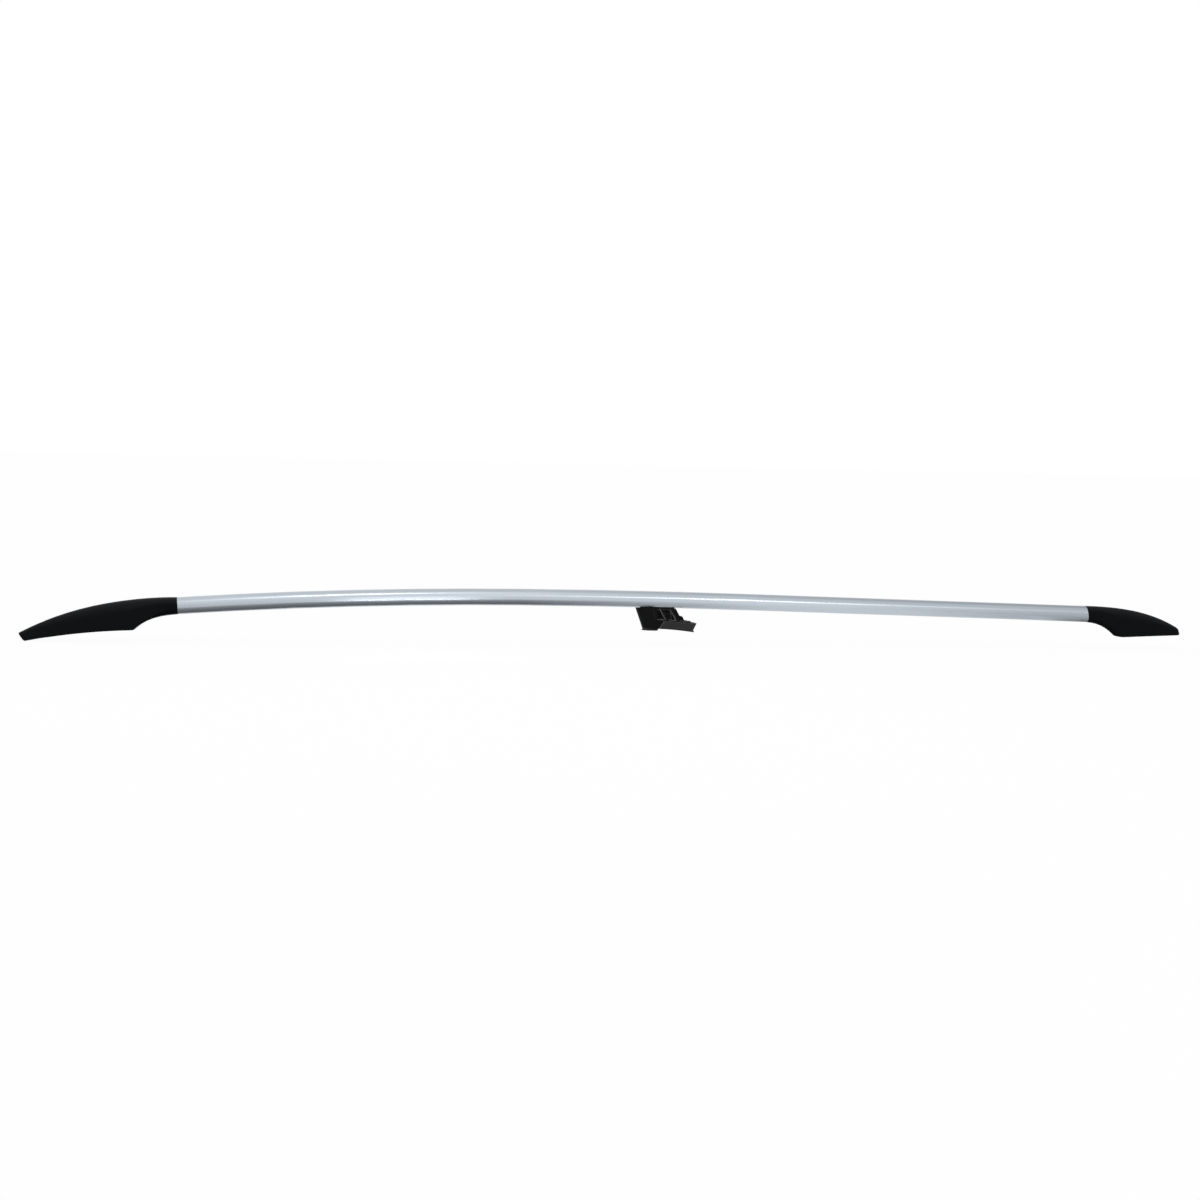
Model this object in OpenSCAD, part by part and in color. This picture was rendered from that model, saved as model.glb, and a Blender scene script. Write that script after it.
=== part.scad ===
// Roof rail for an estate car: one bowed tube, a moulded cover over a cast bracket at each end,
// and a ribbed support under the middle. Every fixing comes up from below, through the roof.
// The frame starts at the seat of the centre roof bolt: X runs towards the rear of the car,
// Y runs across it, and Z points up.

/* [Rail tube] */
// Height of the tube section
tube_h = 28.6; // [26:0.2:32]
// Width of the tube section
tube_w = 33; // [31:0.5:38]
// Radius of the four section corners
tube_corner_r = 12; // [10:0.5:12.5]
// Wall of the tube
tube_wall = 2; // [1.6:0.1:2.6]
// Height of the tube's centreline above the centre seat, at the crown
crown_h = 54.5; // [50:0.5:62]
// Distance of the crown ahead of the centre seat
crown_ahead = 276; // [200:5:340]
// Bend radius ahead of the crown
front_bend_r = 8400; // [7600:100:12000]
// Bend radius behind the crown
rear_bend_r = 17500; // [15000:500:30000]
// Length of the rear bend, before the straight tail
rear_bend_run = 420; // [380:10:500]
// Centre seat to the front joint
front_reach = 865; // [780:1:920]
// Centre seat to the rear joint
rear_reach = 767.5; // [700:0.5:900]
// Rake of the rear joint, its top leaning forward
rear_joint_rake = 8; // [0:1:12]

/* [Covers] */
// Wall of both covers
cover_wall = 2.2; // [1.8:0.1:2.6]
// Radius along the lower edge of both covers
rim_r = 1.2; // [0.6:0.1:1.6]
// Thickness of the ring between tube and cover
joint_seal_t = 0.8; // [0.5:0.1:1.5]
// Thickness of the stiffening fins inside the covers
fin_t = 1.8; // [1.4:0.1:2.4]
// Depth of those fins from the side wall
fin_depth = 6; // [4:0.5:7]

/* [Front cover] */
// Length from the joint to the blunt nose
front_cover_len = 259; // [240:0.5:290]
// Length from the joint to the heel corner
front_heel_len = 71; // [60:1:80]
// Fall of the neck's underside at an even slope
front_neck_fall = 6; // [3:0.2:8]
// Fall of the crown line towards the nose
front_crown_bow = 53.5; // [50:0.5:56]
// Extra fall of the crown line at the nose
front_nose_droop = 5.9; // [4:0.1:8]
// How late that extra fall sets in
front_droop_power = 5; // [4:1:8]
// Depth of the heel corner below the centre seat
front_heel_drop = 7; // [0:0.2:12]
// Radius of the roof line under the cover
front_sole_r = 985; // [900:5:1600]
// Slope of the roof line at the heel corner
front_sole_tilt = 1.3; // [0:0.1:3]
// Width of the cover at its heel
front_foot_w = 42; // [38:1:50]
// Bow of the heel in plan, its middle reaching towards the tube
front_heel_bow = 3.5; // [0:0.5:6]
// Width of the cover at its nose
front_nose_w = 15; // [14:1:20]
// Rounding of the blunt nose
front_nose_r = 2.4; // [1.5:0.1:3.5]
// Lean of the blunt nose, its top reaching forward
front_nose_lean = 36; // [0:1:40]

/* [Rear cover] */
// Length from the joint to the nose
rear_cover_len = 182.5; // [170:0.5:210]
// Length from the joint to the heel corner
rear_heel_len = 63.5; // [56:0.5:66]
// Fall of the neck's underside at an even slope
rear_neck_fall = 8.5; // [6:0.5:14]
// Fall of the crown line towards the nose
rear_crown_bow = 25.5; // [22:0.5:32]
// Extra fall of the crown line at the nose
rear_nose_droop = 14.5; // [6:0.5:18]
// How late that extra fall sets in
rear_droop_power = 4; // [3:1:6]
// Depth of the heel corner below the centre seat
rear_heel_drop = 6.4; // [0:0.2:12]
// Radius of the roof line under the cover
rear_sole_r = 4000; // [2500:100:8000]
// Slope of the roof line at the heel corner
rear_sole_tilt = -2.6; // [-3.2:0.1:0]
// Width of the cover at its heel
rear_foot_w = 42; // [38:1:50]
// Bow of the heel in plan, its middle reaching towards the tube
rear_heel_bow = 2; // [0:0.5:10]
// Width of the cover at its nose
rear_nose_w = 22; // [18:1:28]
// Rounding of the nose
rear_nose_r = 4.4; // [2:0.1:4.8]
// Lean of the nose, its top reaching rearward
rear_nose_lean = 0; // [0:1:20]

/* [End brackets] */
// Length of the spigot inside the tube
spigot_len = 46; // [40:1:60]
// Gap around the spigot
spigot_fit = 0.2; // [0.1:0.05:0.4]
// Width of the arm that stands on the base plate
arm_w = 18; // [14:1:20]
// Thickness left between the arm's side pockets
arm_web = 5; // [4:0.5:7]
// Thickness of the base plate
plate_t = 5; // [4:0.5:6]
// Gap between the base plate and the cover's wall
plate_fit = 1; // [0.6:0.1:1.5]
// Heel corner to the first roof bolt
first_bolt = 20; // [18:1:26]
// Spacing of the front roof bolts
front_bolt_pitch = 60; // [50:1:66]
// Spacing of the rear roof bolts
rear_bolt_pitch = 34; // [28:1:38]
// Heel corner to the screw that holds the front cover
front_cover_screw = 131; // [124:1:140]
// Heel corner to the screw that holds the rear cover
rear_cover_screw = 82; // [78:1:88]
// Joint to the first screw through the tube
tube_screw_inset = 14; // [10:1:16]
// Spacing of the two screws through the tube
tube_screw_pitch = 19; // [14:1:22]

/* [Roof bolts and gaskets] */
// Wall radius of the threaded inserts, for an M8 thread
thread_r = 3.4; // [2.5:0.05:4.2]
// Outer radius of the threaded inserts
insert_r = 5.4; // [5:0.1:6.2]
// Length of the threaded inserts
insert_len = 13; // [10:0.5:15]
// Metal around each insert
insert_wall = 2.8; // [2:0.1:3.5]
// Thickness of the gaskets
gasket_t = 3; // [2.5:0.1:3.6]
// How far the gaskets stand proud of the covers' rims
gasket_proud = 0.3; // [0.1:0.1:1]

/* [Centre foot] */
// Slope of the roof under the centre foot
seat_slope = 5; // [3:0.5:6]
// Width across the ribs and flange
support_w = 36; // [32:1:40]
// Width of the closed nose
nose_w = 33; // [30:1:35]
// Centre seat to the lower front edge of the nose
nose_ahead = 58.7; // [58:0.1:62]
// Centre seat to the back of the nose
nose_back = 38; // [36:0.5:40]
// Lean of the nose, its top reaching forward
nose_lean = 25; // [20:0.2:26]
// Depth of the nose below the shoe's underside
nose_drop = 1.9; // [1:0.1:3]
// Rake of the ribs, their tops reaching forward
rib_rake = 35; // [33:0.5:37]
// Thickness of the ribs
rib_t = 2.6; // [1.8:0.1:3]
// Thickness of the rear wall
rear_wall_t = 5; // [4:0.2:6]
// Thickness of the middle web
web_t = 3.4; // [2.4:0.2:4.4]
// Thickness of the flange on the shoe
flange_t = 2; // [1.6:0.1:2.6]
// Width of the web's foot at the rear of the flange
web_foot_w = 10; // [8:0.5:16]
// Thickness of the web's foot at its end
web_foot_t = 2.4; // [2.2:0.1:4]
// Thickness of the cradle under the tube
cradle_t = 2.6; // [2:0.1:3.2]
// Width of the cradle
cradle_w = 25; // [20:1:30]
// Height of the foot's top above the tube's underside
cradle_lip = 0.4; // [0.2:0.1:2]
// Thickness of the liner between tube and cradle
liner_t = 1; // [0.6:0.1:1.4]
// Gap between liner and tube
liner_fit = 0.06; // [0.04:0.01:0.15]
// Seat to the front screw into the tube
front_screw_ahead = 49; // [48.5:0.1:49.5]
// Seat to the rear screw into the tube
rear_screw_ahead = 14; // [13:0.5:15]
// Moulding clamped by those screws
screw_grip = 12; // [10:0.5:14]

/* [Shoe] */
// Length of the shoe's underside ahead of the seat
shoe_ahead = 30.7; // [29:0.1:32]
// Length of the shoe's underside behind the seat
shoe_behind = 32.4; // [30:0.1:34]
// Overhang of the shoe's upper rear edge
shoe_overhang = 3; // [2:0.1:5]
// Rise of the shoe's underside between its ends
shoe_arch = 1; // [0.5:0.1:2.4]
// Height of the shoe at its front
shoe_h = 14.2; // [13.5:0.1:15]
// Width of the shoe at its front
shoe_front_w = 38; // [36:1:42]
// Width of the shoe at its rear
shoe_rear_w = 45; // [42:1:50]
// Taper of the shoe's rear corners in plan
shoe_corner = 8; // [2:0.5:9]
// Wall of the shoe
shoe_wall = 2.6; // [2:0.1:3.2]
// Depth of the notch across the shoe's rear end
notch_depth = 5.8; // [4:0.1:7]
// Rubber under the nose
nose_pad_t = 2; // [1.4:0.1:2.6]
// Extra thickness of that rubber at its front
nose_pad_wedge = 2.4; // [0:0.1:3.4]
// Lip of that rubber around the nose
pad_lip = 2; // [0.6:0.1:2.4]

/* [Hidden] */
$fn = 48;
bend_fn = 720;
oval_fn = 64;
arc_steps = 7;
neck_steps = 8;
toe_steps = 13;
arm_steps = 4;
strip_steps = 12;
shoe_arch_steps = 8;
solid = "solid";
hair = 0.02;
far = 200;

// Screws through the tube, and the covers' screws with the posts they bite into
tube_screw_r = 2.4;
tube_screw_head_r = 4.2;
tube_screw_len = 11;
cover_screw_r = 1.9;
cover_screw_head_r = 3.8;
cover_screw_len = 11;
cover_screw_grip = 2.6;
post_r = 4.2;

// Screws and blind nuts that hold the centre foot to the tube
nut_r = 4.4;
nut_flange_r = 6.4;
nut_flange_t = 0.8;
nut_grip = 13;
centre_screw_r = 3;
centre_screw_head_r = 5.2;
driver_gap = 0.5;

// Screws that hold the shoe to the foot
shoe_screw_x = 14;
shoe_screw_y = 9.5;
shoe_screw_r = 1.9;
shoe_screw_grip = 2.4;
shoe_screw_len = 10;
shoe_boss_h = 5.6;
shoe_boss_r = 5.8;

// Heights and lengths in the roof's slope
roof_top = 60;
shoe_gap = 0.3;
shoe_rear_h = shoe_h + 1;
shoe_front_top = -shoe_ahead + shoe_h / 2;
flange_end = shoe_behind - 8.4;
flange_rise = (shoe_rear_h - shoe_h) / (flange_end - shoe_front_top);
rib_foot_x = -19.5;
rear_wall_foot_x = -0.1;
pad_end = -nose_back + 4.9;
pad_low = -nose_drop - nose_pad_t;

// Below an open sole the covers' walls run on by a cut, and the floor of each section bows
// by a hair, so that no three of its points lie in one line
sole_cut = 6;
floor_bow = 0.01;

// Colours as the photograph shows them
silver = "#C3C8CE";
cover_black = "#26282A";
rib_black = "#303234";
shoe_grey = "#5A5C5E";
rubber = "#151617";
cast_grey = "#8D9093";
zinc = "#B5B8BC";

// Heights along the tube
crown_x = -crown_ahead;
bend_end_x = crown_x + rear_bend_run;
tail_fall = asin(rear_bend_run / rear_bend_r);
front_fall = asin((front_reach - crown_ahead) / front_bend_r);

// Fall of a circle of radius r, a run away from its top
function sag(r, run) = r - sqrt(r * r - run * run);
// Height of the tube's centreline at x
function rail_z(x) =
    x < crown_x ? crown_h - sag(front_bend_r, crown_x - x)
    : x < bend_end_x ? crown_h - sag(rear_bend_r, x - crown_x)
    : crown_h - sag(rear_bend_r, rear_bend_run) - (x - bend_end_x) * tan(tail_fall);
// Height of the tube's underside at x
function under_z(x) = rail_z(x) - tube_h / 2;
// Angle at which the tube falls rearwards at x
function rail_fall(x) =
    x < crown_x ? -asin((crown_x - x) / front_bend_r)
    : x < bend_end_x ? asin((x - crown_x) / rear_bend_r)
    : tail_fall;

function mix(a, b, t) = a + (b - a) * t;
function ease(t) = let(u = max(0, min(1, t))) u * u * (3 - 2 * u);

// Each end has one list of sizes, read by the functions below, and is drawn with its joint
// at x = 0, its nose towards +X and its heights as in the whole rail.
front = [
    front_cover_len, front_heel_len, -1, front_neck_fall,
    front_crown_bow, front_nose_droop, front_droop_power, -front_heel_drop,
    front_sole_r, front_sole_tilt, front_foot_w / 2, front_nose_w / 2,
    front_nose_r, front_fall, front_nose_lean, front_reach,
    front_bolt_pitch, front_cover_screw, front_heel_bow
];
rear = [
    rear_cover_len, rear_heel_len, 1, rear_neck_fall,
    rear_crown_bow, rear_nose_droop, rear_droop_power, -rear_heel_drop,
    rear_sole_r, rear_sole_tilt, rear_foot_w / 2, rear_nose_w / 2,
    rear_nose_r, -rear_joint_rake, rear_nose_lean, rear_reach,
    rear_bolt_pitch, rear_cover_screw, rear_heel_bow
];
function cover_len(c) = c[0];
function heel_len(c) = c[1];
function side_of(c) = c[2];
function neck_fall(c) = c[3];
function crown_bow(c) = c[4];
function nose_droop(c) = c[5];
function droop_power(c) = c[6];
function heel_z(c) = c[7];
function sole_r(c) = c[8];
function sole_tilt(c) = c[9];
function foot_half(c) = c[10];
function nose_half(c) = c[11];
function nose_round(c) = c[12];
function joint_lean(c) = c[13];
function tip_lean(c) = c[14];
function reach(c) = c[15];
function bolt_at(c, n) = heel_len(c) + first_bolt + n * c[16];
function cover_screw_at(c) = heel_len(c) + c[17];
function heel_bow(c) = c[18];

// Height and fall of the tube's centreline, a length s past the joint
function place_x(c, s) = side_of(c) * (reach(c) + s);
function tube_z(c, s) = rail_z(place_x(c, s));
function tube_fall(c, s) = side_of(c) * rail_fall(place_x(c, s));
function joint_z(c) = tube_z(c, 0);

// Share of the way from joint to heel, and from heel to nose
function neck_share(c, s) = s / heel_len(c);
function toe_share(c, s) = max(0, (s - heel_len(c)) / (cover_len(c) - heel_len(c)));

// Top line, roof line and underside of a cover, a length s from the joint
function crown_z(c, s) =
    joint_z(c) + tube_h / 2 - crown_bow(c) * pow(s / cover_len(c), 2)
    - nose_droop(c) * pow(max(0, s) / cover_len(c), droop_power(c));
function sole_z(c, s) =
    let(
        centre_s = heel_len(c) - sole_r(c) * sin(sole_tilt(c)),
        centre_z = heel_z(c) - sole_r(c) * cos(sole_tilt(c))
    )
    centre_z + sqrt(pow(sole_r(c), 2) - pow(s - centre_s, 2));
function sole_slope(c, s) = asin((s - heel_len(c)) / sole_r(c) + sin(sole_tilt(c)));
function under_cover_z(c, s) =
    let(start = joint_z(c) - tube_h / 2, curl = start - neck_fall(c) - heel_z(c))
    s > heel_len(c) ? sole_z(c, s)
    : start - neck_fall(c) * neck_share(c, s) - curl * pow(max(0, neck_share(c, s)), 3);

// Half widths of a cover at its lower edge and at its shoulder
function foot_y(c, s) =
    s < heel_len(c) ? mix(tube_w / 2, foot_half(c), ease(neck_share(c, s)))
    : mix(foot_half(c), nose_half(c), pow(toe_share(c, s), 1.8));
function shoulder_y(c, s) = foot_y(c, s) * mix(1, 0.86, ease(neck_share(c, s)));

// Lean of a section, half its height, and how far the lean carries its floor back
function section_lean(c, s) =
    mix(joint_lean(c), 0, ease(neck_share(c, s))) + tip_lean(c) * ease(toe_share(c, s));
function half_h(c, s) = (crown_z(c, s) - under_cover_z(c, s)) / 2;
function lean_run(c, s) = half_h(c, s) * tan(section_lean(c, s));
// Height of a section's top, and of the lower edge of its rounded shoulder
function top_z(c, s) = crown_z(c, s + lean_run(c, s));
function shoulder_h(c, s) = mix(tube_corner_r, 1.1 * half_h(c, s), ease(neck_share(c, s)));
function shoulder_z(c, s) = top_z(c, s) - shoulder_h(c, s);
// How far a section's sides lie behind its middle, y off the centre plane
function side_lag(c, s, y) =
    heel_bow(c) * ease(neck_share(c, s)) * (1 - ease(2.5 * toe_share(c, s))) * pow(y / foot_y(c, s), 2);
// Floor of a section at y
function floor_z(c, s, y) =
    under_cover_z(c, s - lean_run(c, s) + (s < heel_len(c) ? 0 : side_lag(c, s, y)));

// A quarter of an ellipse, from an angle on
function quarter(cy, cz, ry, rz, from) =
    [for (k = [0:arc_steps]) let(a = from + 90 * k / arc_steps) [cy + ry * cos(a), cz + rz * sin(a)]];

// One cross-section of a cover's skin, drawn inset from the outside.
function cover_ring(c, s, inset, open = false) =
    let(
        grown = ease(neck_share(c, s)),
        mid_z = crown_z(c, s) - half_h(c, s),
        top = top_z(c, s) - inset,
        splay = (foot_y(c, s) - shoulder_y(c, s)) / (shoulder_z(c, s) - floor_z(c, s, 0)),
        shoulder = shoulder_y(c, s) - inset,
        foot = foot_y(c, s) - inset + (open ? splay * sole_cut : 0),
        lift = open ? -sole_cut : inset * mix(1, 1.5, grown),
        edge_z = floor_z(c, s, foot) + lift,
        round_y = min(mix(tube_corner_r, shoulder_y(c, s) - 0.4, grown), shoulder_y(c, s) - 0.4),
        ry = max(0.5, round_y - inset),
        rz = max(0.5, shoulder_h(c, s) - inset),
        rb = max(0.3, mix(tube_corner_r, rim_r, grown) - inset)
    )
    [for (p = concat(
        quarter(foot - rb, edge_z + rb, rb, rb, 270),
        quarter(shoulder - ry, top - rz, ry, rz, 0),
        quarter(ry - shoulder, top - rz, ry, rz, 90),
        quarter(rb - foot, edge_z + rb, rb, rb, 180),
        [for (u = [-2:2])
            let(y = u / 3 * (foot - rb)) [y, floor_z(c, s, y) + lift - floor_bow * (9 - u * u)]]
    )) [s + tan(section_lean(c, s)) * (p[1] - mid_z) + side_lag(c, s, p[0]), p[0], p[1]]];

// Where the sections lie: closer together at the heel and at the nose
function neck_stops(c) = [for (k = [1:neck_steps]) heel_len(c) * sin(90 * k / neck_steps)];
function toe_stops(c, end) = [for (k = [1:toe_steps]) mix(heel_len(c), end, sin(90 * k / toe_steps))];

// A closed skin through a list of sections with equally many points
module loft(rings) {
    n = len(rings[0]);
    last = len(rings) - 1;
    polyhedron(
        points = [for (ring = rings) each ring],
        faces = concat(
            [[for (j = [0:n - 1]) j]],
            [[for (j = [n - 1:-1:0]) last * n + j]],
            [for (i = [0:last - 1], j = [0:n - 1])
                [i * n + j, (i + 1) * n + j, (i + 1) * n + (j + 1) % n]],
            [for (i = [0:last - 1], j = [0:n - 1])
                [i * n + j, (i + 1) * n + (j + 1) % n, i * n + (j + 1) % n]]
        )
    );
}

module cover_skin(c, inset = 0) {
    r = nose_round(c);
    tip = cover_len(c) - r;
    loft(concat(
        [cover_ring(c, -3, inset)],
        [for (s = neck_stops(c)) cover_ring(c, s, inset)],
        [for (s = toe_stops(c, tip)) cover_ring(c, s, inset)],
        [for (a = [30:30:90]) cover_ring(c, tip + (r - inset) * sin(a), inset + (r - inset) * (1 - cos(a)))]
    ));
}

module cover_cavity(c) {
    heel_end = heel_len(c) + cover_wall;
    toe_end = cover_len(c) - 2 * cover_wall;
    loft(concat(
        [cover_ring(c, -4, cover_wall)],
        [for (s = neck_stops(c)) cover_ring(c, s, cover_wall)],
        [cover_ring(c, heel_end, cover_wall, true)],
        [for (s = toe_stops(c, toe_end)) if (s > heel_end + cover_wall) cover_ring(c, s, cover_wall, true)]
    ));
}

// Fins down the inside of both side walls, clear of the bracket between them
module cover_fins(c) {
    count = 5;
    first = 0.06;
    spacing = 0.13;
    above_plate = 4;
    for (k = [0:count - 1], side = [-1, 1]) {
        s = mix(heel_len(c), cover_len(c), first + spacing * k);
        low_z = sole_z(c, s) + gasket_t + plate_t + above_plate;
        inner_y = foot_y(c, s) - cover_wall - fin_depth;
        translate([s, 0, 0]) rotate([90, 0, 90]) linear_extrude(height = fin_t, center = true) polygon([
            [side * foot_y(c, s), low_z],
            [side * foot_y(c, s), crown_z(c, s)],
            [side * inner_y, crown_z(c, s)],
            [side * inner_y, low_z + fin_depth]
        ]);
    }
}

// Post that the cover's screw bites into, standing on the base plate
module cover_post(c) {
    on_sole(c, cover_screw_at(c)) translate([0, 0, gasket_t + plate_t + 2 * hair])
        cylinder(r1 = post_r, r2 = post_r + 1, h = tube_h);
}

// A shell whose mouth is cut square to the joint, just clear of the ring there
module cover(c) {
    difference() {
        union() {
            difference() {
                cover_skin(c);
                cover_cavity(c);
            }
            intersection() {
                cover_skin(c, cover_wall / 2);
                union() {
                    cover_fins(c);
                    cover_post(c);
                }
            }
        }
        joint_plane(c, joint_seal_t + hair) translate([-far, -far / 2, -far / 2]) cube(far);
        cover_screw_place(c) cylinder(r = cover_screw_r + hair, h = cover_screw_len + 1, $fn = 24);
    }
}

// Places an end's own frame at the front or at the rear of the rail
module at_front() {
    translate([-front_reach, 0, 0]) rotate([0, 0, 180]) children();
}
module at_rear() {
    translate([rear_reach, 0, 0]) children();
}
// Stands on the roof line, square to it
module on_sole(c, s) {
    translate([s, 0, sole_z(c, s)]) rotate([0, sole_slope(c, s), 0]) children();
}
// Turns an end's frame along the tube a length s past the joint, with +X leaving the tube
module along_tube(c, s = 0) {
    translate([s, 0, tube_z(c, s)]) rotate([0, tube_fall(c, s), 0]) children();
}

// Section of the tube in a plane, its height along X, grown outwards all round
module oval(grow = 0) {
    r = tube_corner_r + grow;
    h = tube_h + 2 * grow;
    w = tube_w + 2 * grow;
    square([h - 2 * r, w], center = true);
    square([h, w - 2 * r], center = true);
    for (u = [-1, 1], v = [-1, 1])
        translate([u * (h / 2 - r), v * (w / 2 - r)]) circle(r, $fn = oval_fn);
}
// The same section as a wall: from one outline in to a second, solid where there is none
module oval_wall(outer, inner) {
    difference() {
        oval(outer);
        if (inner != solid) oval(inner);
    }
}

// Sweeps a section around a bend under the crown, forwards or backwards by an angle
module bend(r, angle) {
    translate([crown_x, 0, crown_h - r]) rotate([90, 0, 0])
        rotate_extrude(start = 90, angle = angle, $fn = bend_fn) translate([r, 0]) children();
}
// Runs a section along the whole rail, its tail reaching past the rear joint.
// The tail's wall starts a hair inside the bend's, so the two become one solid.
module along_rail(outer, inner = solid) {
    lap = 1;
    tail_len = (rear_reach - bend_end_x) / cos(tail_fall) + tube_h;
    bend(front_bend_r, front_fall) oval_wall(outer, inner);
    bend(rear_bend_r, -tail_fall) oval_wall(outer, inner);
    translate([bend_end_x, 0, rail_z(bend_end_x)])
        rotate([0, 90 + tail_fall, 0]) translate([0, 0, -lap]) linear_extrude(height = tail_len)
            oval_wall(outer - hair, inner == solid ? solid : inner + hair);
}
// Runs a section along the short stretch over the centre foot, where the bend is next to nothing
module over_foot(outer, inner = solid) {
    x = -(front_screw_ahead + rear_screw_ahead) / 2;
    translate([x, 0, rail_z(x)]) rotate([0, 90 + rail_fall(x), 0])
        linear_extrude(height = far, center = true) oval_wall(outer, inner);
}
// Everything past the raked rear joint
module past_rear_joint() {
    translate([rear_reach, 0, rail_z(rear_reach)])
        rotate([0, -rear_joint_rake, 0]) translate([0, -far / 2, -far / 2]) cube(far);
}

module rail_tube() {
    color(silver)
    difference() {
        along_rail(0, -tube_wall);
        past_rear_joint();
        at_front() tube_screw_places(front) countersink(hair);
        at_rear() tube_screw_places(rear) countersink(hair);
        centre_screw_places() cylinder(r = nut_r + hair, h = 3 * tube_wall, center = true);
    }
}

// Underside of the tube at its two end screws
module tube_screw_places(c) {
    for (n = [0, 1])
        along_tube(c, -tube_screw_inset - n * tube_screw_pitch) translate([0, 0, -tube_h / 2]) children();
}
// Shank and flat-topped cone of those screws, grown by a gap, a little past the tube's face
module countersink(gap) {
    past = gap > 0 ? 1 : 0;
    cone_h = tube_screw_head_r - tube_screw_r;
    translate([0, 0, -past]) cylinder(r = tube_screw_r + gap, h = 2 * tube_wall + past);
    translate([0, 0, -past])
        cylinder(r1 = tube_screw_head_r + gap + past, r2 = tube_screw_r + gap, h = cone_h + past);
}
// Underside of the tube at the two centre screws
module centre_screw_places() {
    for (ahead = [front_screw_ahead, rear_screw_ahead])
        translate([-ahead, 0, under_z(-ahead)]) children();
}

// Pan-head screw with a six-sided socket, its head hanging below the seat
module pan_screw(r, length, head_r) {
    head_h = head_r * 0.6;
    difference() {
        union() {
            cylinder(r = r, h = length);
            rotate([180, 0, 0]) cylinder(r1 = head_r, r2 = head_r * 0.72, h = head_h);
        }
        translate([0, 0, -head_h - 1]) cylinder(r = r * 0.72, h = 1 + head_h * 0.7, $fn = 6);
    }
}

module joint_seal(c) {
    difference() {
        along_tube(c) rotate([0, 90, 0])
            linear_extrude(height = tube_h, center = true) oval_wall(0, -tube_wall);
        joint_plane(c, 0) translate([-far, -far / 2, -far / 2]) cube(far);
        joint_plane(c, joint_seal_t) translate([0, -far / 2, -far / 2]) cube(far);
    }
}
// Turns +X square to the end of the tube
module joint_plane(c, out) {
    translate([0, 0, joint_z(c)]) rotate([0, joint_lean(c), 0]) translate([out, 0, 0]) children();
}
module front_joint_seal() {
    color(rubber) at_front() joint_seal(front);
}
module rear_joint_seal() {
    color(rubber) at_rear() joint_seal(rear);
}
module front_cover() {
    color(cover_black) at_front() cover(front);
}
module rear_cover() {
    color(cover_black) at_rear() cover(rear);
}

function plate_start(c) = heel_len(c) + cover_wall * 1.5 + plate_fit;
function plate_end(c) = cover_screw_at(c) + 2.4 * post_r;
function plate_top(c, s) = sole_z(c, s) + gasket_t + plate_t;
// The section whose leaning floor reaches the roof line at x
function floor_section(c, x) = x + lean_run(c, x + lean_run(c, x));
// Half width of the cover's inside at x, a height above the roof line
function inside_y(c, x, height) =
    let(s = floor_section(c, x), share = height / (shoulder_z(c, s) - sole_z(c, x)))
    mix(foot_y(c, s), shoulder_y(c, s), share) - cover_wall;

// A strip that follows the roof line between two heights above it, a gap inside the cover
module sole_strip(c, low, high, from, to, gap) {
    side_from = from + heel_bow(c);
    half_w = inside_y(c, side_from, high) - gap;
    stops = [for (k = [0:strip_steps]) mix(from, to, k / strip_steps)];
    sides = [for (k = [0:strip_steps]) mix(side_from, to, k / strip_steps)];
    intersection() {
        across(far) polygon(concat(
            [for (s = stops) [s, sole_z(c, s) + low]],
            [for (k = [strip_steps:-1:0]) [stops[k], sole_z(c, stops[k]) + high]]
        ));
        translate([0, 0, -far / 2]) linear_extrude(height = far) polygon(concat(
            [for (s = sides) [s, inside_y(c, s, high) - gap]],
            [for (k = [strip_steps:-1:0]) [sides[k], gap - inside_y(c, sides[k], high)]],
            [for (u = [-0.75:0.25:0.75]) [from + heel_bow(c) * u * u, u * half_w]]
        ));
    }
}

// Side outline of the arm: over the neck's inside, down to the base plate
function arm_brow_z(c) = mix(joint_z(c), plate_top(c, heel_len(c)), 0.2);
function arm_outline(c) =
    let(
        root = heel_len(c) / 4,
        toe = mix(bolt_at(c, 0), bolt_at(c, 1), 1.1),
        lap = 1,
        off_skin = 1.5 * (cover_wall + plate_fit + lap),
        off_crown = cover_wall + plate_fit + 3 * lap
    )
    concat(
        [for (k = [0:arm_steps])
            let(s = mix(root, heel_len(c), k / arm_steps)) [s, under_cover_z(c, s) + off_skin]],
        [[plate_start(c) + lap, sole_z(c, plate_start(c)) + gasket_t + lap]],
        [[toe, plate_top(c, toe) - lap]],
        [[toe, plate_top(c, toe) + 2 * lap]],
        [[heel_len(c), arm_brow_z(c)]],
        [[root, joint_z(c) + tube_h / 2 - off_crown]]
    );

// Pocket in the arm's side, a rim's width inside its edges, ending short of the first insert
pocket_rim = 4.5;
function pocket_outline(c) =
    let(
        start = 0.6 * heel_len(c),
        end = bolt_at(c, 0) - insert_r - insert_wall - 1,
        floor_z = plate_top(c, heel_len(c)) + pocket_rim,
        brow_z = arm_brow_z(c) - pocket_rim
    )
    [
        [start, under_cover_z(c, start) + 2 * pocket_rim],
        [heel_len(c), floor_z],
        [end, floor_z],
        [end, brow_z - 1.2 * pocket_rim],
        [heel_len(c), brow_z],
        [start, brow_z + pocket_rim / 2]
    ];

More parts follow.
